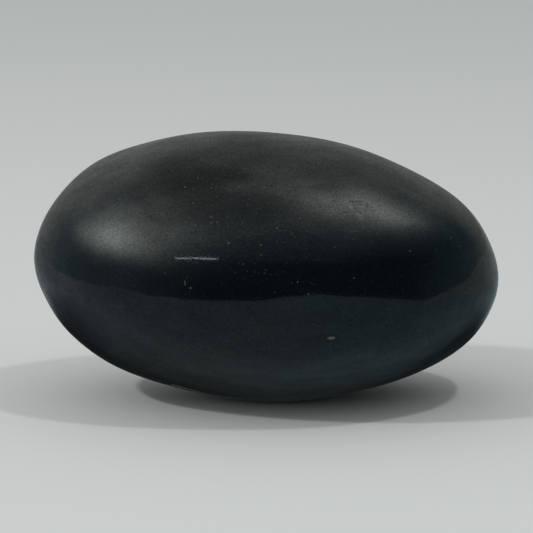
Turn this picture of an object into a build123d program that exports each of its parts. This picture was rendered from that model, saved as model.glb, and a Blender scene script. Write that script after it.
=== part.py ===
from build123d import *
import math
import os

import numpy as np

# Basalt massage stone: one solid, water-worn pebble of dense black basalt.
# The stone is an egg-like pebble, longest along X, lying on its broad side.
# Its left (-X) shoulder is blunt and high, its top falls away towards the
# right (+X) end, and it rests on a small worn flat under its centre of mass.
#
# Frame: millimetres, +Z up, origin at the centre of the footprint box on the
# surface the stone rests on, +X along the longest extent.

# ---- driving dimensions (mm) ------------------------------------------------
HALF_LENGTH = 40.0      # half of the stone's length along X
HALF_WIDTH = 28.5       # half of the base ellipsoid's width along Y
HALF_HEIGHT = 22.6      # half of the base ellipsoid's height along Z
REST_FLAT_DEPTH = 0.35  # how much of the lowest bulge is worn to a flat
CENTRE = (-1.80632, 0.28684, 22.86796)  # where the base ellipsoid's middle lies

# ---- the pebble's own shape -------------------------------------------------
# The surface is the base ellipsoid with its radius swollen or hollowed by
# smooth surface harmonics (pole along +X). Each row is one broad lobe:
# (degree, order, cosine part, sine part) of the logarithm of the radius.
LOBES = [
    (0, 0, 0.037875, 0.000000), (1, 0, 0.091933, 0.000000), (1, 1, 0.004780, -0.012886),
    (2, 0, -0.020946, 0.000000), (2, 1, 0.074605, 0.110440), (2, 2, -0.026559, -0.073158),
    (3, 0, 0.015619, 0.000000), (3, 1, -0.020645, 0.036026), (3, 2, 0.016125, -0.051111),
    (3, 3, -0.001399, -0.016755), (4, 0, -0.005464, 0.000000), (4, 1, -0.012651, -0.004679),
    (4, 2, -0.005829, -0.033671), (4, 3, -0.015667, 0.019333), (4, 4, -0.002867, 0.032884),
    (5, 0, -0.007560, 0.000000), (5, 1, -0.010831, -0.002188), (5, 2, 0.009628, -0.000333),
    (5, 3, 0.010008, 0.007551), (5, 4, -0.005029, 0.014235), (5, 5, 0.019930, 0.004646),
    (6, 0, -0.000730, 0.000000), (6, 1, 0.003027, -0.002194), (6, 2, -0.004683, -0.010830),
    (6, 3, -0.001862, -0.002164), (6, 4, 0.001703, -0.008014), (6, 5, -0.002217, 0.005580),
    (6, 6, -0.006818, 0.001052), (7, 0, -0.004092, 0.000000), (7, 1, 0.002079, -0.005393),
    (7, 2, 0.003137, 0.002808), (7, 3, 0.000872, -0.003639), (7, 4, -0.001596, 0.006892),
    (7, 5, -0.006282, -0.001017), (7, 6, 0.002455, 0.001247), (7, 7, -0.005047, 0.001661),
    (8, 0, 0.000649, 0.000000), (8, 1, 0.000281, 0.001154), (8, 2, 0.002982, -0.004867),
    (8, 3, -0.001308, 0.001352), (8, 4, 0.000020, 0.001952), (8, 5, -0.000552, -0.002811),
    (8, 6, 0.006734, 0.001230), (8, 7, -0.002092, -0.001157), (8, 8, -0.003322, -0.000750),
    (9, 0, -0.000441, 0.000000), (9, 1, 0.001855, 0.001649), (9, 2, 0.000809, 0.002236),
    (9, 3, -0.001694, 0.002121), (9, 4, -0.003141, -0.002961), (9, 5, -0.005044, 0.000101),
    (9, 6, -0.004292, -0.003605), (9, 7, -0.000926, -0.000651), (9, 8, -0.004395, 0.000631),
    (9, 9, 0.003462, -0.000500), (10, 0, 0.001412, 0.000000), (10, 1, 0.000604, 0.000906),
    (10, 2, 0.001318, 0.007168), (10, 3, -0.000907, -0.001223), (10, 4, 0.000912, 0.006482),
    (10, 5, -0.000607, 0.000371), (10, 6, 0.000008, 0.000072), (10, 7, 0.001808, 0.000844),
    (10, 8, -0.002680, 0.000873), (10, 9, -0.000651, -0.001218), (10, 10, 0.002066, 0.000800),
]
MAX_DEGREE = max(row[0] for row in LOBES)

# ---- surfacing --------------------------------------------------------------
PATCH_DEGREE = 14       # Bezier degree of each of the six skin patches


def log_radius(u):
    """Logarithm of the local radius factor for unit directions u (n, 3)."""
    cx = u[:, 0]
    s = np.sqrt(np.maximum(0.0, 1.0 - cx * cx))
    phi = np.arctan2(u[:, 2], u[:, 1])
    p = {(0, 0): np.full_like(cx, math.sqrt(1.0 / (4.0 * math.pi)))}
    for m in range(1, MAX_DEGREE + 1):
        p[m, m] = -math.sqrt((2 * m + 1) / (2 * m)) * s * p[m - 1, m - 1]
    for m in range(MAX_DEGREE):
        p[m + 1, m] = math.sqrt(2 * m + 3) * cx * p[m, m]
    for m in range(MAX_DEGREE + 1):
        for l in range(m + 2, MAX_DEGREE + 1):
            a = math.sqrt((4 * l * l - 1) / (l * l - m * m))
            b = math.sqrt(((l - 1) ** 2 - m * m) / (4 * (l - 1) ** 2 - 1))
            p[l, m] = a * (cx * p[l - 1, m] - b * p[l - 2, m])
    total = np.zeros_like(cx)
    for l, m, c, d in LOBES:
        total += p[l, m] * (c * np.cos(m * phi) + d * np.sin(m * phi))
    return total


def skin(directions):
    """Points of the pebble's skin (mm) for any outward directions (n, 3)."""
    u = directions / np.linalg.norm(directions, axis=1)[:, None]
    size = np.array([HALF_LENGTH, HALF_WIDTH, HALF_HEIGHT])
    return np.array(CENTRE) + u * size * np.exp(log_radius(u))[:, None]


def bernstein(n, t):
    """Bernstein polynomials of degree n at the values t, one row each."""
    return np.array([[math.comb(n, i) * v ** i * (1 - v) ** (n - i)
                      for i in range(n + 1)] for v in t])


def bezier_face(points):
    """Bezier face that passes through a grid of points at the cosine nodes."""
    inverse = np.linalg.inv(bernstein(PATCH_DEGREE, NODES))
    poles = np.einsum("ip,jq,pqk->ijk", inverse, inverse, points)
    return Face.make_bezier_surface(
        [[tuple(float(c) for c in pole) for pole in row] for row in poles])


# Cosine-spaced nodes along a patch side, and the same nodes as slopes on the
# direction cube, so that two patches that share a side share its points.
NODES = (1.0 - np.cos(np.pi * np.arange(PATCH_DEGREE + 1) / PATCH_DEGREE)) / 2.0
SLOPES = np.tan((2.0 * NODES - 1.0) * math.pi / 4.0)
SLOPES[0], SLOPES[-1] = -1.0, 1.0
SLOPES[PATCH_DEGREE // 2] = 0.0


def cube_patch(front, across, up):
    """Skin over one whole side of the direction cube."""
    a, b = np.meshgrid(SLOPES, SLOPES, indexing="ij")
    dirs = (np.array(front)[None, None, :]
            + a[..., None] * np.array(across)[None, None, :]
            + b[..., None] * np.array(up)[None, None, :])
    n = PATCH_DEGREE + 1
    return bezier_face(skin(dirs.reshape(-1, 3)).reshape(n, n, 3))


def lowest_direction():
    """Direction (x, y, -1) from the middle to the lowest point of the skin."""
    best = np.array([0.0, 0.0])
    step = 0.4
    while step > 1e-9:
        grid = np.linspace(-1.0, 1.0, 9) * step
        gx, gy = np.meshgrid(best[0] + grid, best[1] + grid, indexing="ij")
        dirs = np.stack([gx.ravel(), gy.ravel(), -np.ones(gx.size)], axis=1)
        k = int(np.argmin(skin(dirs)[:, 2]))
        best = dirs[k, :2]
        step *= 0.4
    return np.array([best[0], best[1], -1.0])


def flat_edge(outer, inner):
    """How far from inner to outer directions the skin rises through Z = 0."""
    lo, hi = np.zeros(len(outer)), np.ones(len(outer))
    for _ in range(60):
        mid = (lo + hi) / 2.0
        z = skin(inner + mid[:, None] * (outer - inner))[:, 2]
        lo, hi = np.where(z < 0, mid, lo), np.where(z < 0, hi, mid)
    return hi


def skirt_patch(corner, along):
    """Skin between one lower edge of the cube and the worn flat's outline."""
    outer = (np.array(corner)[None, :]
             + (SLOPES[:, None] + 1.0) * np.array(along)[None, :])
    inner = np.repeat(LOWEST[None, :], len(outer), axis=0)
    rim = inner + flat_edge(outer, inner)[:, None] * (outer - inner)
    dirs = (outer[:, None, :] * (1.0 - NODES)[None, :, None]
            + rim[:, None, :] * NODES[None, :, None])
    n = PATCH_DEGREE + 1
    points = skin(dirs.reshape(-1, 3)).reshape(n, n, 3)
    points[:, -1, 2] = 0.0
    inverse = np.linalg.inv(bernstein(PATCH_DEGREE, NODES))
    rim_poles = inverse @ points[:, -1, :]
    rim_edge = Edge.make_bezier(*[(float(p[0]), float(p[1]), 0.0) for p in rim_poles])
    return bezier_face(points), rim_edge


X, Y, Z = (1.0, 0.0, 0.0), (0.0, 1.0, 0.0), (0.0, 0.0, 1.0)
NX, NY = (-1.0, 0.0, 0.0), (0.0, -1.0, 0.0)
LOWEST = lowest_direction()

# Five whole sides, four skirts round the worn flat, and the flat itself.
faces = [cube_patch(*side) for side in
         [(X, Y, Z), (NX, NY, Z), (Y, NX, Z), (NY, X, Z), (Z, X, Y)]]
rim = []
for corner, along in [((-1.0, -1.0, -1.0), X), ((1.0, -1.0, -1.0), Y),
                      ((1.0, 1.0, -1.0), NX), ((-1.0, 1.0, -1.0), NY)]:
    skirt, edge = skirt_patch(corner, along)
    faces.append(skirt)
    rim.append(edge)
faces.append(Face(Wire(rim)))

stone_body = Solid(Shell(Face.sew_faces(faces)[0]))
if stone_body.volume < 0:
    stone_body = Solid(Shell([-face for face in stone_body.faces()]))
stone_body.label = "stone_body"

os.makedirs("parts", exist_ok=True)
export_step(stone_body, "parts/stone_body.step")

box = stone_body.bounding_box()
flat = [f for f in stone_body.faces() if f.geom_type == GeomType.PLANE]
print("valid", stone_body.is_valid, "volume cm3", round(stone_body.volume / 1000, 2))
print("size mm", box.size, "min", box.min, "max", box.max)
print("centre of mass", stone_body.center(CenterOf.MASS))
for f in flat:
    print("rest flat area mm2", round(f.area, 2), "centre", f.center(), f.bounding_box().size)
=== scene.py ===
"""Basalt massage stone: the looks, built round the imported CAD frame."""

import math

import bpy
import numpy as np
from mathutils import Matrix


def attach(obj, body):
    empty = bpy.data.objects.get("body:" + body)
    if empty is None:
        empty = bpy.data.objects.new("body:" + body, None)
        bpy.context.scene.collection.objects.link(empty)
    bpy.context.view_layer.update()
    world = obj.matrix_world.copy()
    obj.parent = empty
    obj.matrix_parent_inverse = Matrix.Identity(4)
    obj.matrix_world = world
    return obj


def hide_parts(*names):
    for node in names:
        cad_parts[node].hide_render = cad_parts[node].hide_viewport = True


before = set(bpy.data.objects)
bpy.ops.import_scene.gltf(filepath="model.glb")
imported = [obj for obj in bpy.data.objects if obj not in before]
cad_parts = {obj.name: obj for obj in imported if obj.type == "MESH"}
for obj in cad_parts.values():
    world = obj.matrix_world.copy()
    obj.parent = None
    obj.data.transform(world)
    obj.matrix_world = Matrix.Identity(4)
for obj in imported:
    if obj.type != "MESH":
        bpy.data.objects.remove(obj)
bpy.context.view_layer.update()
scene = bpy.context.scene
MM = 0.001

# =============================================================================
# The pebble's own surface: the same formula and numbers as the CAD solid.
# =============================================================================
HALF = np.array([40.0, 28.5, 22.6])
CENTRE = np.array([-1.80632, 0.28684, 22.86796])
LOBES = [
    (0, 0, 0.037875, 0.000000), (1, 0, 0.091933, 0.000000), (1, 1, 0.004780, -0.012886),
    (2, 0, -0.020946, 0.000000), (2, 1, 0.074605, 0.110440), (2, 2, -0.026559, -0.073158),
    (3, 0, 0.015619, 0.000000), (3, 1, -0.020645, 0.036026), (3, 2, 0.016125, -0.051111),
    (3, 3, -0.001399, -0.016755), (4, 0, -0.005464, 0.000000), (4, 1, -0.012651, -0.004679),
    (4, 2, -0.005829, -0.033671), (4, 3, -0.015667, 0.019333), (4, 4, -0.002867, 0.032884),
    (5, 0, -0.007560, 0.000000), (5, 1, -0.010831, -0.002188), (5, 2, 0.009628, -0.000333),
    (5, 3, 0.010008, 0.007551), (5, 4, -0.005029, 0.014235), (5, 5, 0.019930, 0.004646),
    (6, 0, -0.000730, 0.000000), (6, 1, 0.003027, -0.002194), (6, 2, -0.004683, -0.010830),
    (6, 3, -0.001862, -0.002164), (6, 4, 0.001703, -0.008014), (6, 5, -0.002217, 0.005580),
    (6, 6, -0.006818, 0.001052), (7, 0, -0.004092, 0.000000), (7, 1, 0.002079, -0.005393),
    (7, 2, 0.003137, 0.002808), (7, 3, 0.000872, -0.003639), (7, 4, -0.001596, 0.006892),
    (7, 5, -0.006282, -0.001017), (7, 6, 0.002455, 0.001247), (7, 7, -0.005047, 0.001661),
    (8, 0, 0.000649, 0.000000), (8, 1, 0.000281, 0.001154), (8, 2, 0.002982, -0.004867),
    (8, 3, -0.001308, 0.001352), (8, 4, 0.000020, 0.001952), (8, 5, -0.000552, -0.002811),
    (8, 6, 0.006734, 0.001230), (8, 7, -0.002092, -0.001157), (8, 8, -0.003322, -0.000750),
    (9, 0, -0.000441, 0.000000), (9, 1, 0.001855, 0.001649), (9, 2, 0.000809, 0.002236),
    (9, 3, -0.001694, 0.002121), (9, 4, -0.003141, -0.002961), (9, 5, -0.005044, 0.000101),
    (9, 6, -0.004292, -0.003605), (9, 7, -0.000926, -0.000651), (9, 8, -0.004395, 0.000631),
    (9, 9, 0.003462, -0.000500), (10, 0, 0.001412, 0.000000), (10, 1, 0.000604, 0.000906),
    (10, 2, 0.001318, 0.007168), (10, 3, -0.000907, -0.001223), (10, 4, 0.000912, 0.006482),
    (10, 5, -0.000607, 0.000371), (10, 6, 0.000008, 0.000072), (10, 7, 0.001808, 0.000844),
    (10, 8, -0.002680, 0.000873), (10, 9, -0.000651, -0.001218), (10, 10, 0.002066, 0.000800),
]
MAX_DEGREE = max(row[0] for row in LOBES)


def log_radius(u):
    cx = u[:, 0]
    s = np.sqrt(np.maximum(0.0, 1.0 - cx * cx))
    phi = np.arctan2(u[:, 2], u[:, 1])
    p = {(0, 0): np.full_like(cx, math.sqrt(1.0 / (4.0 * math.pi)))}
    for m in range(1, MAX_DEGREE + 1):
        p[m, m] = -math.sqrt((2 * m + 1) / (2 * m)) * s * p[m - 1, m - 1]
    for m in range(MAX_DEGREE):
        p[m + 1, m] = math.sqrt(2 * m + 3) * cx * p[m, m]
    for m in range(MAX_DEGREE + 1):
        for l in range(m + 2, MAX_DEGREE + 1):
            a = math.sqrt((4 * l * l - 1) / (l * l - m * m))
            b = math.sqrt(((l - 1) ** 2 - m * m) / (4 * (l - 1) ** 2 - 1))
            p[l, m] = a * (cx * p[l - 1, m] - b * p[l - 2, m])
    total = np.zeros_like(cx)
    for l, m, c, d in LOBES:
        total += p[l, m] * (c * np.cos(m * phi) + d * np.sin(m * phi))
    return total


def unit(v):
    return v / np.linalg.norm(v, axis=-1, keepdims=True)


def skin(u):
    """Skin points in millimetres for outward unit directions of the unit ball."""
    u = unit(u)
    return CENTRE + u * HALF * np.exp(log_radius(u))[:, None]


def direction_of(point):
    """Unit-ball direction whose skin point lies on the ray to a point (mm)."""
    return unit((np.asarray(point, float) - CENTRE) / HALF)


def skin_normal(u):
    """Outward normals of the skin at unit directions."""
    u = unit(u)
    helper = np.where(np.abs(u[:, 2:3]) < 0.8, np.array([[0.0, 0.0, 1.0]]),
                      np.array([[1.0, 0.0, 0.0]]))
    t1 = unit(np.cross(helper, u))
    t2 = np.cross(u, t1)
    h = 1e-4
    d1 = skin(u + h * t1) - skin(u - h * t1)
    d2 = skin(u + h * t2) - skin(u - h * t2)
    n = unit(np.cross(d1, d2))
    flip = np.sum(n * (skin(u) - CENTRE), axis=1, keepdims=True) < 0
    return np.where(flip, -n, n)


# =============================================================================
# Deterministic noise on numpy arrays, in millimetres
# =============================================================================
def lattice(ix, iy, iz, seed):
    h = (ix * 374761393 + iy * 668265263 + iz * 2147483647 + seed * 1274126177) & 0xFFFFFFFF
    h = ((h ^ (h >> 13)) * 1103515245) & 0xFFFFFFFF
    h = ((h ^ (h >> 16)) * 2246822519) & 0xFFFFFFFF
    h = h ^ (h >> 15)
    return (h & 0xFFFFFF) / float(0xFFFFFF) * 2.0 - 1.0


def value_noise(p, size, seed):
    """Smooth value noise in -1..1 with features of about `size` mm."""
    q = p / size
    i = np.floor(q).astype(np.int64)
    f = q - i
    f = f * f * f * (f * (f * 6.0 - 15.0) + 10.0)
    out = 0.0
    for dx in (0, 1):
        for dy in (0, 1):
            for dz in (0, 1):
                w = ((f[:, 0] if dx else 1 - f[:, 0]) * (f[:, 1] if dy else 1 - f[:, 1])
                     * (f[:, 2] if dz else 1 - f[:, 2]))
                out = out + w * lattice(i[:, 0] + dx, i[:, 1] + dy, i[:, 2] + dz, seed)
    return out


def smooth(a, b, x):
    t = np.clip((x - a) / (b - a), 0.0, 1.0)
    return t * t * (3.0 - 2.0 * t)


# =============================================================================
# Real relief: pits, a chipped pock, a shallow facet and soft undulations
# =============================================================================
# name, place on the skin (mm), half sizes (mm) across and up, depth (mm), turn (deg), kind
PITS = [
    (15.38, -21.64, 36.27, 1.0, 1.15, 0.1, 0, "pock"),
    (17.69, -21.17, 35.70, 0.28, 0.22, 0.035, 20, "pit"),
    (19.20, -20.28, 35.90, 0.22, 0.18, 0.03, 0, "pit"),
    (13.06, -22.92, 35.64, 0.25, 0.2, 0.03, 0, "pit"),
    (-22.01, -22.44, 30.12, 0.42, 0.16, 0.035, -30, "pit"),
    (-23.18, -22.03, 29.55, 0.22, 0.16, 0.03, 10, "pit"),
    (-22.53, -21.83, 30.84, 0.3, 0.12, 0.025, -15, "pit"),
    (-8.03, -5.71, 1.03, 0.45, 0.25, 0.07, 0, "pit"),
    (3.99, -17.29, 42.59, 0.4, 0.2, 0.03, 0, "pit"),
    (19.0, 21.0, 31.0, 0.45, 0.3, 0.05, 15, "pit"),
    (-21.0, 19.0, 27.0, 0.35, 0.35, 0.05, 0, "pit"),
    (-4.0, 27.5, 19.0, 0.6, 0.3, 0.06, -25, "pit"),
    (34.0, 9.0, 16.0, 0.4, 0.25, 0.04, 40, "pit"),
]


# A faint crease above the left shoulder: the skin falls away on its upper side.
RIDGE = [(-21.89, -17.08, 37.07), (-21.35, -18.07, 36.55), (-20.47, -19.37, 35.84), (-19.60, -20.78, 34.81), (-18.74, -21.72, 34.13), (-17.24, -22.80, 33.48), (-14.92, -23.89, 33.00)]


def beyond_ridge(points):
    """Distance in mm to the crease, positive on its upper side, and how near its middle."""
    best = np.full(len(points), 1e9)
    side = np.zeros(len(points))
    for a, b in zip(RIDGE[:-1], RIDGE[1:]):
        a, b = np.array(a), np.array(b)
        d = b - a
        t = np.clip((points - a) @ d / (d @ d), 0.0, 1.0)
        off = points - (a + t[:, None] * d)
        dist = np.linalg.norm(off, axis=1)
        up = np.cross(d, skin_normal(direction_of(a)[None, :])[0])
        closer = dist < best
        best = np.where(closer, dist, best)
        side = np.where(closer, np.sign(off @ up), side)
    if up[2] < 0:
        side = -side
    middle = np.array(RIDGE[len(RIDGE) // 2])
    return best * side, np.exp(-(np.linalg.norm(points - middle, axis=1) / 5.5) ** 4)


def relief(points, normals):
    """Height in mm above the smooth skin, along the normal."""
    h = (0.030 * value_noise(points, 13.0, 3) + 0.012 * value_noise(points, 6.0, 5)
         + 0.0028 * value_noise(points, 2.3, 7))
    s, near_ridge = beyond_ridge(points)
    s = np.maximum(s, 0.0)
    h -= near_ridge * 0.090 * (1.0 - np.exp(-s / 1.1)) * np.exp(-(s / 5.0) ** 2)
    for x, y, z, across, up, depth, turn, kind in PITS:
        c = skin(direction_of((x, y, z))[None, :])[0]
        n = skin_normal(direction_of((x, y, z))[None, :])[0]
        t = np.cross([0.0, 0.0, 1.0], n)
        t = t / np.linalg.norm(t)
        b = np.cross(n, t)
        ca, sa = math.cos(math.radians(turn)), math.sin(math.radians(turn))
        t, b = ca * t + sa * b, -sa * t + ca * b
        d = points - c
        near = np.where(np.linalg.norm(d, axis=1) < 3.0 * max(across, up) + 0.5)[0]
        if not len(near):
            continue
        dn = d[near]
        u, v = dn @ t / across, dn @ b / up
        wob = 0.22 * value_noise(points[near], 0.55 * min(across, up) + 0.1, 11)
        if kind == "pock":          # three-cornered chip with a sharp wall
            r = np.maximum.reduce([v * 0.9 + 0.15 * u, -0.55 * v + 0.95 * u, -0.6 * v - 0.9 * u]) * 1.25
        else:
            r = np.sqrt(u * u + v * v)
        r = r + wob
        wall = 1.0 - smooth(0.45, 1.0, r)
        lip = np.exp(-((r - 1.12) / 0.22) ** 2)
        if kind == "pock":          # shallow floor inside a narrow cracked outline
            h[near] += depth * (-0.35 * (1.0 - smooth(0.55, 0.95, r)) - np.exp(-((r - 0.92) / 0.17) ** 2))
        else:
            h[near] += -depth * wall + 0.10 * depth * lip
    return h


# =============================================================================
# The stone's mesh: six grids of quads on a direction cube, drawn in towards
# the pits so that each one has enough vertices to be real geometry
# =============================================================================
SIDE = 128


def cube_sphere(side):
    steps = np.arange(side + 1)
    index, verts, faces = {}, [], []
    tan = np.tan((2.0 * steps / side - 1.0) * math.pi / 4.0)
    frames = [((1, 0, 0), (0, 1, 0), (0, 0, 1)), ((-1, 0, 0), (0, -1, 0), (0, 0, 1)),
              ((0, 1, 0), (-1, 0, 0), (0, 0, 1)), ((0, -1, 0), (1, 0, 0), (0, 0, 1)),
              ((0, 0, 1), (1, 0, 0), (0, 1, 0)), ((0, 0, -1), (-1, 0, 0), (0, 1, 0))]
    for f, a, b in frames:
        f, a, b = np.array(f), np.array(a), np.array(b)
        ids = np.empty((side + 1, side + 1), np.int64)
        for i in steps:
            for j in steps:
                key = tuple((f * side + a * (2 * i - side) + b * (2 * j - side)).tolist())
                k = index.get(key)
                if k is None:
                    k = len(verts)
                    index[key] = k
                    verts.append(f + a * tan[i] + b * tan[j])
                ids[i, j] = k
        q = np.stack([ids[:-1, :-1], ids[1:, :-1], ids[1:, 1:], ids[:-1, 1:]], axis=-1)
        faces.append(q.reshape(-1, 4))
    return unit(np.array(verts, float)), np.concatenate(faces)


def draw_in(u):
    """Slides directions towards the pits; each pull is smooth and one-to-one."""
    for x, y, z, across, up, depth, turn, kind in PITS:
        c = direction_of((x, y, z))
        d = c[None, :] - u
        r = np.linalg.norm(d * HALF, axis=1)
        reach = (2.2 if kind == "pock" else 3.0) * max(across, up) + 0.9
        w = (0.78 if kind == "pock" else 0.55) * np.exp(-(r / reach) ** 2)
        u = unit(u + d * w[:, None])
    return u


dirs, quads = cube_sphere(SIDE)
dirs = draw_in(dirs)
points = skin(dirs)
normals = skin_normal(dirs)
points = points + normals * relief(points, normals)[:, None]
points[:, 2] = np.maximum(points[:, 2], 0.0)      # the worn flat it rests on

mesh = bpy.data.meshes.new("basalt_stone")
mesh.vertices.add(len(points))
mesh.vertices.foreach_set("co", (points * MM).astype(np.float32).ravel())
mesh.loops.add(quads.size)
mesh.loops.foreach_set("vertex_index", quads.astype(np.int32).ravel())
mesh.polygons.add(len(quads))
mesh.polygons.foreach_set("loop_start", np.arange(0, quads.size, 4, dtype=np.int32))
mesh.update(calc_edges=True)
mesh.validate()
mesh.shade_smooth()
stone = bpy.data.objects.new("basalt_stone", mesh)
scene.collection.objects.link(stone)


# =============================================================================
# Small helper for node formulas
# =============================================================================
class Sock:
    """A node socket that can be used in ordinary arithmetic."""

    def __init__(self, tree, socket):
        self.tree, self.socket = tree, socket

    def op(self, kind, *others, clamp=False):
        node = self.tree.nodes.new("ShaderNodeMath")
        node.operation = kind
        node.use_clamp = clamp
        for k, v in enumerate((self,) + others):
            if isinstance(v, Sock):
                self.tree.links.new(v.socket, node.inputs[k])
            else:
                node.inputs[k].default_value = float(v)
        return Sock(self.tree, node.outputs[0])

    def __add__(self, o): return self.op("ADD", o)
    __radd__ = __add__
    def __mul__(self, o): return self.op("MULTIPLY", o)
    __rmul__ = __mul__
    def __sub__(self, o): return self.op("SUBTRACT", o)
    def __rsub__(self, o): return (self * -1.0) + o
    def __truediv__(self, o): return self.op("DIVIDE", o)
    def __pow__(self, o): return self.op("POWER", o)
    def abs(self): return self.op("ABSOLUTE")
    def clamp(self): return self.op("ADD", 0.0, clamp=True)
    def maximum(self, o): return self.op("MAXIMUM", o)
    def minimum(self, o): return self.op("MINIMUM", o)

    def ramp(self, a, b, lo=0.0, hi=1.0):
        """Smooth step from lo at a to hi at b."""
        node = self.tree.nodes.new("ShaderNodeMapRange")
        node.interpolation_type = "SMOOTHSTEP"
        self.tree.links.new(self.socket, node.inputs["Value"])
        for name, v in (("From Min", a), ("From Max", b), ("To Min", lo), ("To Max", hi)):
            node.inputs[name].default_value = v
        return Sock(self.tree, node.outputs["Result"])

    def gauss(self, centre, width):
        t = (self - centre) * (1.0 / width)
        return (t * t * -1.0).op("EXPONENT")


def mix_colour(tree, factor, a, b):
    node = tree.nodes.new("ShaderNodeMix")
    node.data_type = "RGBA"
    node.clamp_factor = True
    if isinstance(factor, Sock):
        tree.links.new(factor.socket, node.inputs[0])
    else:
        node.inputs[0].default_value = factor
    for slot, v in ((6, a), (7, b)):
        if isinstance(v, Sock):
            tree.links.new(v.socket, node.inputs[slot])
        else:
            node.inputs[slot].default_value = (*v, 1.0)
    return Sock(tree, node.outputs[2])


def noise(tree, vec, scale, detail=2.0, rough=0.5, distortion=0.0, colour=False):
    node = tree.nodes.new("ShaderNodeTexNoise")
    node.inputs["Scale"].default_value = scale
    node.inputs["Detail"].default_value = detail
    node.inputs["Roughness"].default_value = rough
    node.inputs["Distortion"].default_value = distortion
    tree.links.new(vec.socket, node.inputs["Vector"])
    return Sock(tree, node.outputs["Color" if colour else "Fac"])


def voronoi(tree, vec, scale, feature="F1", out="Distance", randomness=1.0):
    node = tree.nodes.new("ShaderNodeTexVoronoi")
    node.feature = feature
    node.inputs["Scale"].default_value = scale
    node.inputs["Randomness"].default_value = randomness
    tree.links.new(vec.socket, node.inputs["Vector"])
    return Sock(tree, node.outputs[out])


def mapping(tree, vec, rotation=(0, 0, 0), scale=(1, 1, 1), location=(0, 0, 0)):
    node = tree.nodes.new("ShaderNodeMapping")
    node.inputs["Rotation"].default_value = rotation
    node.inputs["Scale"].default_value = scale
    node.inputs["Location"].default_value = location
    tree.links.new(vec.socket, node.inputs["Vector"])
    return Sock(tree, node.outputs["Vector"])


def vec_op(tree, kind, a, b=None, out="Vector"):
    node = tree.nodes.new("ShaderNodeVectorMath")
    node.operation = kind
    for k, v in enumerate((a, b)):
        if v is None:
            continue
        if isinstance(v, Sock):
            tree.links.new(v.socket, node.inputs[k])
        elif kind == "SCALE" and k == 1:
            node.inputs["Scale"].default_value = v
        else:
            node.inputs[k].default_value = v
    return Sock(tree, node.outputs[out])


def channel(tree, colour, k):
    node = tree.nodes.new("ShaderNodeSeparateColor")
    tree.links.new(colour.socket, node.inputs[0])
    return Sock(tree, node.outputs[k])


# =============================================================================
# Basalt: near-black, fine grained, worn satin with a thin waxy gloss
# =============================================================================
# place (mm), half sizes (mm), turn (deg), colour, how strong
FLECKS = [
    (10.61, -26.76, 15.67, 0.66, 0.27, -12, (0.14, 0.15, 0.1), 0.85),
    (-13.08, -26.87, 24.78, 0.12, 0.46, 32, (0.14, 0.15, 0.125), 0.5),
    (-12.19, -27.11, 24.00, 0.18, 0.15, 0, (0.14, 0.15, 0.125), 0.75),
]
# small pale crystals: place (mm), radius (mm), how strong
DOTS = [
    (-35.06, -11.08, 25.48, 0.16, 0.6), (-23.49, -21.28, 18.91, 0.14, 0.6), (-25.26, -19.26, 17.68, 0.1, 0.6),
    (1.82, -25.79, 33.63, 0.19, 0.9), (-6.03, -26.46, 31.28, 0.22, 0.8), (-0.77, -26.90, 31.03, 0.17, 0.8),
    (23.56, -22.56, 29.31, 0.17, 0.9), (30.62, -17.12, 30.56, 0.16, 0.7), (14.29, -26.91, 25.61, 0.15, 0.9),
    (5.16, -28.26, 25.20, 0.15, 0.9), (4.24, -28.33, 25.05, 0.11, 0.6), (6.91, -28.34, 23.24, 0.15, 0.9),
    (-8.65, -15.46, 42.84, 0.15, 0.7), (-7.03, -17.30, 41.93, 0.13, 0.5), (-11.13, -18.02, 40.70, 0.16, 0.8),
    (-13.24, -19.04, 39.35, 0.17, 0.9), (-11.85, -19.78, 39.13, 0.15, 0.8), (-8.80, -19.65, 39.94, 0.15, 0.6),
    (-4.29, -20.83, 39.61, 0.17, 0.8), (-1.92, -20.55, 40.07, 0.12, 0.5), (-3.41, -18.00, 41.86, 0.12, 0.5),
    (-11.87, -21.84, 37.13, 0.15, 0.7), (-13.00, -22.18, 36.35, 0.13, 0.6), (-16.78, -21.69, 35.29, 0.18, 0.9),
    (-8.89, -24.06, 35.16, 0.18, 0.8), (-7.91, -24.69, 34.44, 0.15, 0.7), (-6.12, -25.31, 33.78, 0.15, 0.5),
    (-10.43, -24.61, 33.77, 0.15, 0.4), (-10.66, -25.55, 31.79, 0.16, 0.5), (-10.00, -25.79, 31.50, 0.13, 0.4),
    (1.66, -25.30, 34.54, 0.12, 0.6), (-0.77, -27.42, 29.48, 0.15, 0.8), (0.36, -23.36, 37.36, 0.14, 0.5),
    (1.43, -28.53, 23.51, 0.12, 0.5), (-3.67, -27.68, 28.05, 0.14, 0.6), (-3.03, -27.97, 26.95, 0.11, 0.5),
    (-4.97, -27.89, 26.68, 0.11, 0.5), (-1.80, -28.06, 26.80, 0.12, 0.4), (-12.71, -17.57, 40.64, 0.1, 0.5),
    (8.61, -16.15, 42.93, 0.18, 0.8), (-19.60, -16.47, 38.82, 0.14, 0.7), (-22.43, -16.21, 37.44, 0.1, 0.5),
    (-15.51, -15.00, 41.52, 0.13, 0.6), (-15.42, -15.15, 41.46, 0.1, 0.5), (-12.75, -26.85, 25.77, 0.12, 0.4),
    (-16.35, -25.81, 26.24, 0.12, 0.5), (-20.49, -24.31, 25.64, 0.1, 0.4), (-21.51, -23.84, 23.73, 0.1, 0.4),
    (-12.60, -26.07, 29.33, 0.13, 0.6), (27.97, -20.02, 29.04, 0.12, 0.5), (11.21, -26.15, 30.58, 0.16, 0.5),
    (14.16, -25.00, 31.70, 0.13, 0.5), (11.78, -14.56, 43.22, 0.14, 0.7), (24.62, -10.56, 39.31, 0.12, 0.4),
]
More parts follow.
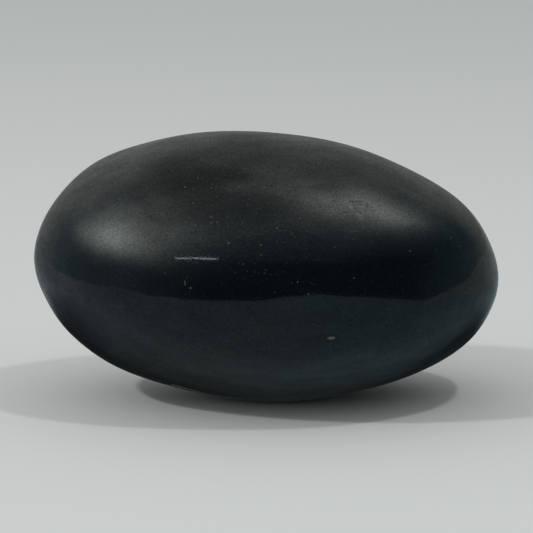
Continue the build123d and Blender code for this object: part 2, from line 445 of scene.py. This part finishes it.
# the far side has its own crystals, spread on a spiral
for k in range(18):
    up = 0.85 - 1.35 * (k + 0.5) / 18
    turn = 2.39996 * k * 0.5
    d = np.array([math.cos(turn) * 1.2, 0.25 + abs(math.sin(turn)), up * 1.1])
    spot = skin(unit(d)[None, :])[0]
    DOTS.append((float(spot[0]), float(spot[1]), float(spot[2]), 0.11 + 0.05 * ((k * 7) % 5) / 4, 0.5 + 0.1 * (k % 4)))
# hair scratches, and a painted highlight along the crease: from, to (mm), half width (mm), how strong
SCRATCHES_AND_CREASE_SHINE = [
    ((-6.66, -20.69, 39.43), (-5.35, -21.26, 39.10), 0.055, 0.5),
    ((-5.35, -21.26, 39.10), (-4.03, -22.49, 38.05), 0.045, 0.35),
    ((-2.55, -26.08, 32.86), (-1.25, -26.20, 32.72), 0.07, 0.5),
    ((6.35, -25.75, 33.13), (7.97, -25.71, 32.80), 0.06, 0.45),
    ((6.99, -28.13, 25.18), (7.96, -28.11, 24.68), 0.05, 0.45),
    ((3.66, -16.86, 42.86), (5.14, -17.13, 42.65), 0.06, 0.5),
    ((-4.01, -25.77, 33.30), (-3.20, -26.04, 32.85), 0.06, 0.45),
    ((2.14, -26.00, 33.18), (3.28, -25.89, 33.32), 0.05, 0.45),
    ((2.46, -26.78, 31.34), (3.43, -26.69, 31.49), 0.05, 0.4),
    ((7.96, -27.28, 28.64), (9.09, -27.10, 28.77), 0.05, 0.45),
    ((2.81, -22.44, 38.37), (3.30, -21.72, 39.09), 0.05, 0.4),
    ((-1.42, -24.12, 36.32), (-0.45, -23.82, 36.77), 0.06, 0.4),
    ((-8.39, -14.80, 43.25), (-7.54, -16.35, 42.46), 0.05, 0.35),
    ((-9.86, -15.87, 42.39), (-8.68, -17.20, 41.75), 0.05, 0.4),
    ((-1.44, -18.78, 41.47), (-0.94, -19.56, 40.92), 0.05, 0.45),
    ((6.03, -26.14, 32.38), (7.00, -26.31, 31.75), 0.06, 0.35),
    ((11.59, -23.28, 35.70), (10.60, -23.81, 35.29), 0.06, 0.3),
    ((5.06, -25.71, 33.46), (6.03, -25.78, 33.14), 0.05, 0.35),
    # the last four run along the crease above the left shoulder: a painted highlight, the pale edge where light catches
    # the crease
    ((-21.35, -18.07, 36.55), (-20.48, -19.30, 35.91), 0.05, 0.22),
    ((-20.48, -19.30, 35.91), (-19.60, -20.78, 34.81), 0.06, 0.4),
    ((-19.60, -20.78, 34.81), (-18.74, -21.72, 34.13), 0.05, 0.35),
    ((-18.74, -21.72, 34.13), (-17.24, -22.80, 33.48), 0.05, 0.18),
    ((-17.20, -25.57, 22.39), (-14.57, -26.38, 22.05), 0.05, 0.25),
    ((25.22, -22.51, 26.48), (27.61, -20.86, 27.19), 0.05, 0.3),
]
# a slightly duller streak across the upper left
STREAK = [(-26.93, -12.89, 36.78), (-19.06, -17.49, 38.30), (-10.30, -18.42, 40.59), (-4.23, -18.51, 41.43)]
# a pale line low on the left, where the stone turns under: a painted reflection of the floor glancing off the underside
RIM_REFLECTION_LINE = [(-15.80, -8.53, 3.77), (-12.92, -8.16, 2.90), (-10.05, -7.31, 1.92), (-6.97, -7.77, 1.50), (-3.89, -8.35, 1.28)]


def along(tree, p, a, b):
    """Distance in mm from each point to the segment a-b."""
    a, b = np.array(a), np.array(b)
    d = b - a
    q = vec_op(tree, "SUBTRACT", p, tuple(a))
    k = vec_op(tree, "DOT_PRODUCT", q, tuple(d), out="Value").op("MULTIPLY", 1.0 / float(d @ d), clamp=True)
    foot = vec_op(tree, "SCALE", Sock(tree, const_vector(tree, d)))
    tree.links.new(k.socket, foot.socket.node.inputs["Scale"])
    return vec_op(tree, "DISTANCE", q, foot, out="Value")


def const_vector(tree, v):
    node = tree.nodes.new("ShaderNodeCombineXYZ")
    for k in range(3):
        node.inputs[k].default_value = float(v[k])
    return node.outputs[0]


def basalt():
    mat = bpy.data.materials.new("basalt")
    mat.use_nodes = True
    t = mat.node_tree
    t.nodes.clear()
    out = t.nodes.new("ShaderNodeOutputMaterial")
    bsdf = t.nodes.new("ShaderNodeBsdfPrincipled")
    t.links.new(bsdf.outputs[0], out.inputs[0])
    coord = t.nodes.new("ShaderNodeTexCoord")
    p = vec_op(t, "SCALE", Sock(t, coord.outputs["Object"]), 1000.0)      # millimetres
    sep = t.nodes.new("ShaderNodeSeparateXYZ")
    t.links.new(p.socket, sep.inputs[0])
    px, py, pz = (Sock(t, sep.outputs[k]) for k in range(3))

    # --- colour: black groundmass, faint warm and cool clouds, fine crystals
    cloud = noise(t, p, 0.085, 3.0, 0.55)
    warm = noise(t, vec_op(t, "ADD", p, (31.0, 7.0, 3.0)), 0.06, 2.0, 0.5)
    grain = noise(t, p, 2.6, 2.0, 0.6)
    fine = noise(t, p, 4.6, 2.0, 0.6)
    base = mix_colour(t, cloud.ramp(0.35, 0.68), (0.0018, 0.0042, 0.0064), (0.0026, 0.0052, 0.0078))
    base = mix_colour(t, px.ramp(22.0, -34.0) * 0.75, base, (0.0052, 0.0060, 0.0080))
    base = mix_colour(t, pz.ramp(30.0, 43.0) * 0.8, base, (0.0016, 0.0036, 0.0034))
    base = mix_colour(t, warm.ramp(0.52, 0.72) * 0.25, base, (0.0052, 0.0046, 0.0060))
    tan = vec_op(t, "DISTANCE", p, (-17.0, -23.0, 33.2), out="Value").ramp(5.5, 1.5)
    base = mix_colour(t, tan * 0.50, base, (0.0090, 0.0074, 0.0062))
    base = mix_colour(t, grain.ramp(0.55, 0.78) * 0.50, base, (0.012, 0.0135, 0.014))
    base = mix_colour(t, fine.ramp(0.54, 0.76) * 0.42, base, (0.016, 0.018, 0.018))

    # tiny pale mineral specks, thickest on the upper middle of the stone
    specks = 0.0
    thick = vec_op(t, "DISTANCE", p, (-4.0, -23.0, 37.5), out="Value").ramp(16.0, 6.0, 0.0, 0.60)
    belt = (noise(t, p, 0.11, 2.0, 0.5).ramp(0.42, 0.64, 0.10, 0.42) + thick).clamp()
    ragged = noise(t, p, 3.0, 1.0, 0.5, colour=True)
    ragged = vec_op(t, "ADD", p, vec_op(t, "SCALE", vec_op(t, "SUBTRACT", ragged, (0.5, 0.5, 0.5)), 0.55))
    for scale, size, keep in ((1.15, 0.20, 0.68), (2.1, 0.27, 0.72)):
        cell = voronoi(t, ragged, scale)
        pick = channel(t, voronoi(t, ragged, scale, out="Color"), 0)
        big = channel(t, voronoi(t, ragged, scale, out="Color"), 1)
        r = big * (0.70 * size) + size * 0.30
        dot = ((cell * -1.0) + r) * (4.0 / size)
        specks = dot.clamp() * pick.ramp(keep, keep + 0.02) * (big * 0.75 + 0.25) + specks
    specks = (specks * belt).clamp()
    base = mix_colour(t, specks * 0.75, base, (0.090, 0.096, 0.086))

    # the larger flecks, crystals, scratches, the painted crease highlight and the painted rim reflection, each at its
    # own place
    rag = noise(t, p, 3.2, 2.0, 0.6)
    flecks = None
    for x, y, z, a, b, turn, colour, strength in FLECKS:
        m = mapping(t, vec_op(t, "SUBTRACT", p, (x, y, z)),
                    rotation=(0.0, math.radians(turn), 0.0),
                    scale=(1.0 / a, 1.0 / max(a, b), 1.0 / b))
        r = vec_op(t, "LENGTH", m, out="Value") + (rag * 1.4 - 0.7)
        mask = r.ramp(1.1, 0.75) * strength
        base = mix_colour(t, mask, base, colour)
        flecks = mask if flecks is None else flecks.maximum(mask)
    dots = None
    for x, y, z, radius, strength in DOTS:
        mask = vec_op(t, "DISTANCE", p, (x, y, z), out="Value").ramp(radius * 1.15, radius * 0.35, 0.0, strength)
        dots = mask if dots is None else dots.maximum(mask)
    dots = dots * rag.ramp(0.30, 0.50, 0.55, 1.0)
    # hair scratches, plus a painted highlight along the crease above the left shoulder
    scuffs_and_crease_shine = None
    for a, b, width, strength in SCRATCHES_AND_CREASE_SHINE:
        mask = along(t, p, a, b).ramp(width * 1.6, width * 0.4, 0.0, strength)
        scuffs_and_crease_shine = mask if scuffs_and_crease_shine is None else scuffs_and_crease_shine.maximum(mask)
    scuffs_and_crease_shine = scuffs_and_crease_shine * fine.ramp(0.35, 0.60, 0.35, 1.0)
    base = mix_colour(t, dots * 0.85, base, (0.135, 0.145, 0.12))
    base = mix_colour(t, scuffs_and_crease_shine * 0.7, base, (0.075, 0.080, 0.078))
    bumps = flecks
    flecks = flecks.maximum(dots)
    # painted reflection: the pale line where the stone turns under stands in for the floor glancing off it
    painted_rim_reflection = None
    for a, b in zip(RIM_REFLECTION_LINE[:-1], RIM_REFLECTION_LINE[1:]):
        mask = along(t, p, a, b).ramp(0.42, 0.20)
        painted_rim_reflection = mask if painted_rim_reflection is None else painted_rim_reflection.maximum(mask)
    base = mix_colour(t, painted_rim_reflection * rag.ramp(0.30, 0.55, 0.55, 1.0), base, (0.34, 0.35, 0.34))
    crown = vec_op(t, "DISTANCE", p, (-3.0, -11.0, 45.2), out="Value").ramp(10.0, 2.0)
    streak = None
    for a, b in zip(STREAK[:-1], STREAK[1:]):
        mask = along(t, p, a, b).ramp(3.4, 0.6)
        streak = mask if streak is None else streak.maximum(mask)
    t.links.new(base.socket, bsdf.inputs["Base Color"])

    # open pores, some of them only pin pricks
    pores = None
    for scale, size, keep in ((0.9, 0.17, 0.60), (1.9, 0.27, 0.52), (3.3, 0.42, 0.50)):
        cell = voronoi(t, p, scale)
        pick = channel(t, voronoi(t, p, scale, out="Color"), 2)
        pit = ((cell * -1.0) + size) * (2.0 / size)
        pit = pit.clamp() * pick.ramp(keep, keep + 0.05) * (0.55 + 0.45 / scale)
        pores = pit if pores is None else pores.maximum(pit)
    pores = pores * noise(t, p, 0.55, 2.0, 0.5).ramp(0.36, 0.62, 0.25, 1.0)

    # --- gloss: satin stone under a thin, uneven waxy film
    worn = noise(t, p, 0.16, 3.0, 0.6)
    rough = (worn.ramp(0.3, 0.7, 0.40, 0.50) + grain.ramp(0.35, 0.75, -0.03, 0.05)
             + flecks * 0.12 + specks * 0.08)
    t.links.new(rough.socket, bsdf.inputs["Roughness"])
    bsdf.inputs["Specular IOR Level"].default_value = 0.0
    bsdf.inputs["IOR"].default_value = 1.5
    film = noise(t, mapping(t, p, rotation=(0.0, 0.15, 0.0), scale=(0.35, 1.0, 1.0)), 0.35, 3.0, 0.6)
    sand = noise(t, p, 3.4, 2.0, 0.7)
    coat = (film.ramp(0.3, 0.75, 0.38, 0.5) * (1.0 - grain.ramp(0.62, 0.80) * 0.30)
            * (1.0 - flecks * 0.6) * (1.0 - pores * 0.62) * sand.ramp(0.32, 0.68, 0.76, 1.24)
            * (1.0 - streak * 0.20) * (1.0 - crown * 0.24))
    t.links.new(coat.socket, bsdf.inputs["Coat Weight"])
    bsdf.inputs["Coat Roughness"].default_value = 0.06
    bsdf.inputs["Coat IOR"].default_value = 1.5

    # --- bump: grain, open pores, hair scratches
    lines = None
    for k, (rx, ry, rz) in enumerate(((0.2, 0.5, 0.3), (1.1, 1.9, 0.4), (2.0, 0.9, 1.7))):
        m = mapping(t, p, rotation=(rx, ry, rz), scale=(0.09, 1.0, 1.0), location=(3.1 * k, 1.7 * k, 0.0))
        n = noise(t, m, 1.6, 1.0, 0.4)
        line = (n - 0.5).abs().ramp(0.012, 0.0)
        gate = noise(t, vec_op(t, "ADD", p, (9.0 * k, 5.0, 2.0 * k)), 0.22, 1.0, 0.5).ramp(0.60, 0.70)
        line = line * gate
        lines = line if lines is None else lines.maximum(line)
    height = (grain * 0.010 + fine * 0.006 + noise(t, p, 0.9, 3.0, 0.6) * 0.020
              - pores * 0.030 - lines * 0.006 - bumps * 0.012)
    bump = t.nodes.new("ShaderNodeBump")
    bump.inputs["Strength"].default_value = 1.0
    bump.inputs["Distance"].default_value = MM
    t.links.new(height.socket, bump.inputs["Height"])
    t.links.new(bump.outputs[0], bsdf.inputs["Normal"])
    film_height = (noise(t, p, 0.9, 2.0, 0.5) * 0.0022 + sand * 0.0007 - pores * 0.005 - lines * 0.004)
    bump2 = t.nodes.new("ShaderNodeBump")
    bump2.inputs["Strength"].default_value = 1.0
    bump2.inputs["Distance"].default_value = MM
    t.links.new(film_height.socket, bump2.inputs["Height"])
    t.links.new(bump2.outputs[0], bsdf.inputs["Coat Normal"])
    return mat


stone.data.materials.append(basalt())
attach(stone, "root")
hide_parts("stone_body")


# =============================================================================
# Floor, lamps and the surroundings that the gloss mirrors
# =============================================================================
def paper():
    mat = bpy.data.materials.new("pale_floor")
    mat.use_nodes = True
    t = mat.node_tree
    bsdf = t.nodes["Principled BSDF"]
    bsdf.inputs["Base Color"].default_value = (0.850, 0.880, 0.866, 1.0)
    bsdf.inputs["Roughness"].default_value = 1.0
    bsdf.inputs["Specular IOR Level"].default_value = 0.0
    # far away the floor fades into the pale surroundings, so there is no hard horizon
    coord = t.nodes.new("ShaderNodeTexCoord")
    r = vec_op(t, "LENGTH", Sock(t, coord.outputs["Object"]), out="Value")
    clear = t.nodes.new("ShaderNodeBsdfTransparent")
    mixer = t.nodes.new("ShaderNodeMixShader")
    t.links.new(r.ramp(0.9, 2.6).socket, mixer.inputs[0])
    t.links.new(bsdf.outputs[0], mixer.inputs[1])
    t.links.new(clear.outputs[0], mixer.inputs[2])
    t.links.new(mixer.outputs[0], t.nodes["Material Output"].inputs[0])
    return mat


def flat_piece(name, outline, z, material):
    me = bpy.data.meshes.new(name)
    me.from_pydata([(x * MM, y * MM, z * MM) for x, y in outline], [], [list(range(len(outline)))])
    me.update()
    me.materials.append(material)
    ob = bpy.data.objects.new(name, me)
    scene.collection.objects.link(ob)
    return ob


def curve_through(pts, steps=12):
    """Catmull-Rom curve through points, end to end."""
    p = [np.array(q, float) for q in pts]
    p = [2 * p[0] - p[1]] + p + [2 * p[-1] - p[-2]]
    outp = []
    for k in range(1, len(p) - 2):
        for s in range(steps):
            u = s / steps
            outp.append(0.5 * ((2 * p[k]) + (-p[k - 1] + p[k + 1]) * u
                               + (2 * p[k - 1] - 5 * p[k] + 4 * p[k + 1] - p[k + 2]) * u * u
                               + (-p[k - 1] + 3 * p[k] - 3 * p[k + 1] + p[k + 2]) * u ** 3))
    outp.append(p[-2])
    return [tuple(q) for q in outp]


paper_mat = paper()
# The near floor's front edge is what ends its reflection low on the stone.
FRONT_EDGE = [
    (-3000.0, 2200.0), (-1000.0, 760.0), (-330.0, 240.0), (-250.0, 170.0), (-189.5, 114.3),
    (-153.9, 68.6), (-122.7, 38.2), (-98.7, 8.2), (-84.3, -17.9), (-83.3, -41.1),
    (-70.7, -48.9), (-56.1, -51.6), (-50.4, -59.1), (-34.9, -70.2), (-22.5, -87.1),
    (-8.4, -110.9), (20.0, -208.4), (98.3, -419.0), (117.9, -274.0), (116.6, -145.7),
    (93.6, -63.9), (93.6, -44.3), (111.6, -31.6), (131.5, -17.9), (159.1, 4.0),
    (250.7, 50.9), (380.0, 130.0), (600.0, 260.0), (1200.0, 600.0), (3000.0, 1700.0),
]
edge = curve_through(FRONT_EDGE)
floor = flat_piece("floor", [(-3500.0, -3500.0), (3500.0, -3500.0), (3500.0, 3500.0), (-3500.0, 3500.0)],
                   0.0, paper_mat)
floor.visible_glossy = False


def floor_shine():
    """A glowing sheet that only the gloss sees, standing in for the lit table top: pale, with a painted shadow that
    dims it close under the stone.
    """
    mat = bpy.data.materials.new("floor_shine")
    mat.use_nodes = True
    t = mat.node_tree
    t.nodes.clear()
    coord = t.nodes.new("ShaderNodeTexCoord")
    sep = t.nodes.new("ShaderNodeSeparateXYZ")
    t.links.new(coord.outputs["Object"], sep.inputs[0])
    x, y = (Sock(t, sep.outputs[k]) * 1000.0 for k in range(2))
    back = y - 22.0          # painted contact shadow, centred towards the back
    r = ((x * 0.62) * (x * 0.62) + back * back).op("SQRT")
    level = r.ramp(27.0, 47.0, 0.08, 1.0) * 0.6
    colour = mix_colour(t, x.ramp(-60.0, 40.0), (0.88, 1.0, 1.05), (0.72, 1.0, 1.04))
    colour = mix_colour(t, x.ramp(60.0, 140.0), colour, (0.90, 1.0, 0.98))
    em = t.nodes.new("ShaderNodeEmission")
    t.links.new(colour.socket, em.inputs[0])
    t.links.new(level.socket, em.inputs[1])
    o = t.nodes.new("ShaderNodeOutputMaterial")
    t.links.new(em.outputs[0], o.inputs[0])
    return mat


shine = flat_piece("floor_shine", edge + [(3000.0, 3000.0), (-3000.0, 3000.0)], -0.02, floor_shine())
for ob in (shine,):
    ob.visible_camera = False
    ob.visible_diffuse = False
    ob.visible_shadow = False
    ob.visible_transmission = False


def lamp(name, place_mm, radius_mm, watts, colour=(1.0, 1.0, 1.0)):
    data = bpy.data.lights.new(name, "POINT")
    data.energy = watts
    data.color = colour
    data.shadow_soft_size = radius_mm * MM
    ob = bpy.data.objects.new(name, data)
    ob.location = [c * MM for c in place_mm]
    ob.visible_glossy = False
    scene.collection.objects.link(ob)
    return ob


lamp("lamp_right", (236.9, -107.0, 563.1), 20.0, 1.8, (1.0, 0.99, 0.955))
lamp("lamp_left", (-760.3, -312.2, 694.4), 36.0, 8.8, (1.0, 0.99, 0.955))

# A narrow window far off that the gloss shows as one thin line.
def card(name, azimuth, elevation, distance, width, height, strength, colour, tilt=0.0):
    az, el = math.radians(azimuth), math.radians(elevation)
    d = np.array([math.sin(az) * math.cos(el), -math.cos(az) * math.cos(el), math.sin(el)])
    c = np.array([0.0, 0.0, 25.0]) + d * distance
    right = np.array([math.cos(az), math.sin(az), 0.0])
    up = np.cross(d, right) * -1.0
    if up[2] < 0:
        up = -up
    ct, st = math.cos(math.radians(tilt)), math.sin(math.radians(tilt))
    right, up = ct * right + st * up, -st * right + ct * up
    me = bpy.data.meshes.new(name)
    cs = [c + right * sx * width / 2 + up * sy * height / 2 for sx, sy in ((-1, -1), (1, -1), (1, 1), (-1, 1))]
    me.from_pydata([tuple(q * MM) for q in cs], [], [(0, 1, 2, 3)])
    me.update()
    mat = bpy.data.materials.new(name)
    mat.use_nodes = True
    t = mat.node_tree
    t.nodes.clear()
    em = t.nodes.new("ShaderNodeEmission")
    em.inputs[0].default_value = (*colour, 1.0)
    em.inputs[1].default_value = strength
    o = t.nodes.new("ShaderNodeOutputMaterial")
    t.links.new(em.outputs[0], o.inputs[0])
    me.materials.append(mat)
    ob = bpy.data.objects.new(name, me)
    ob.visible_camera = False
    ob.visible_diffuse = False
    ob.visible_shadow = False
    ob.visible_transmission = False
    scene.collection.objects.link(ob)
    return ob


card("line_window", -25.0, 20.8, 1500.0, 420.0, 14.0, 20.0, (0.82, 0.94, 1.10), 3.0)

world = bpy.data.worlds.new("studio")
scene.world = world
world.use_nodes = True
wt = world.node_tree
wt.nodes.clear()
coord = wt.nodes.new("ShaderNodeTexCoord")
sep = wt.nodes.new("ShaderNodeSeparateXYZ")
wt.links.new(coord.outputs["Generated"], sep.inputs[0])
dx, dy, dz = (Sock(wt, sep.outputs[k]) for k in range(3))
elev = dz.op("ARCSINE") * (180.0 / math.pi)
azim = dx.op("ARCTAN2", dy * -1.0) * (180.0 / math.pi)       # 0 towards the camera side, + to the right

# Pale ceiling and back wall, a dark room in front, and two broad soft lights.
sky = elev.ramp(-10.0, 55.0, 0.36, 1.24) + elev.ramp(60.0, 90.0, 0.0, 0.38)
left_dim = (azim + 74.0).abs().ramp(92.0, 70.0) * elev.ramp(36.0, 56.0) * elev.ramp(87.0, 76.0) * 0.44
sky = sky * (1.0 - left_dim) + (azim - 55.0).abs().ramp(85.0, 40.0) * elev.ramp(62.0, 80.0) * 0.46
front = (azim + 2.0).abs().ramp(132.0, 112.0)
low = elev.ramp(62.0, 14.0)
off_axis = (azim - 15.0).abs()
room_level = off_axis.ramp(30.0, 88.0, 0.045, 0.36) + elev.ramp(18.5, 22.5) * (azim + 4.0).abs().ramp(48.0, 22.0) * 0.12
dark = front * low
left_side = (azim + 84.0).op("LESS_THAN", 0.0)
left_turn = (azim + 81.0) * (left_side * (1.0 / 20.0 - 1.0 / 31.0) + 1.0 / 31.0)
left_halo = (azim + 80.0) * (left_side * (1.0 / 36.0 - 1.0 / 46.0) + 1.0 / 46.0)
left_glow = (left_turn.gauss(0.0, 1.0) * elev.gauss(27.0, 13.5) * 5.1
             + left_halo.gauss(0.0, 1.0) * elev.gauss(38.0, 22.0) * 2.1
             + (azim + 138.0).gauss(0.0, 20.0) * elev.gauss(0.0, 15.0) * 0.38)
right_glow = (azim - 79.0).gauss(0.0, 20.0) * elev.gauss(56.0, 10.0) * 4.1 + (azim - 46.0).gauss(0.0, 22.0) * elev.gauss(63.0, 11.0) * 2.9
tint = mix_colour(wt, dark, (0.925, 1.0, 0.955), (0.64, 0.97, 1.13))
base_light = sky * (1.0 - dark) + room_level * dark
a = vec_op(wt, "SCALE", tint)
wt.links.new(base_light.socket, a.socket.node.inputs["Scale"])
glow_colour = mix_colour(wt, 1.0, (0, 0, 0), (0.935, 1.0, 0.945))
b = vec_op(wt, "SCALE", glow_colour)
wt.links.new((left_glow + right_glow).socket, b.socket.node.inputs["Scale"])
room = vec_op(wt, "ADD", a, b)
# what lights the floor: a little more from the left, less from low in front on the right
fill = ((azim + 100.0).abs().ramp(115.0, 45.0) * elev.ramp(70.0, 30.0) * 0.30
        - (azim - 50.0).abs().ramp(105.0, 60.0) * elev.ramp(48.0, 12.0) * 0.66 + 1.0)
ambient = vec_op(wt, "SCALE", mix_colour(wt, 1.0, (0, 0, 0), (0.464, 0.470, 0.478)))
wt.links.new(fill.socket, ambient.socket.node.inputs["Scale"])

path = wt.nodes.new("ShaderNodeLightPath")
backdrop = mix_colour(wt, elev.ramp(-6.0, 12.0), (0.545, 0.565, 0.558), (0.47, 0.49, 0.485))
seen = mix_colour(wt, Sock(wt, path.outputs["Is Glossy Ray"]), ambient, room)
seen = mix_colour(wt, Sock(wt, path.outputs["Is Camera Ray"]), seen, backdrop)
bg = wt.nodes.new("ShaderNodeBackground")
wt.links.new(seen.socket, bg.inputs[0])
wo = wt.nodes.new("ShaderNodeOutputWorld")
wt.links.new(bg.outputs[0], wo.inputs[0])
world.cycles.sampling_method = "MANUAL"
world.cycles.sample_map_resolution = 1024

# =============================================================================
# Camera at the photograph's viewing angle: 10 degrees down, long lens
# =============================================================================
cam_data = bpy.data.cameras.new("camera")
cam_data.sensor_width = 36.0
cam_data.lens = 176.42
cam_data.clip_start = 0.01
cam_data.clip_end = 20.0
camera = bpy.data.objects.new("camera", cam_data)
E = math.radians(10.0)
camera.location = (0.1209 * MM, -450.0 * math.cos(E) * MM, (22.7585 + 450.0 * math.sin(E)) * MM)
camera.rotation_euler = (math.radians(80.0), 0.0, 0.0)
scene.collection.objects.link(camera)
scene.camera = camera

scene.view_settings.view_transform = "Standard"
scene.view_settings.look = "None"
scene.view_settings.exposure = 0.0
scene.view_settings.gamma = 1.0

bpy.context.view_layer.update()
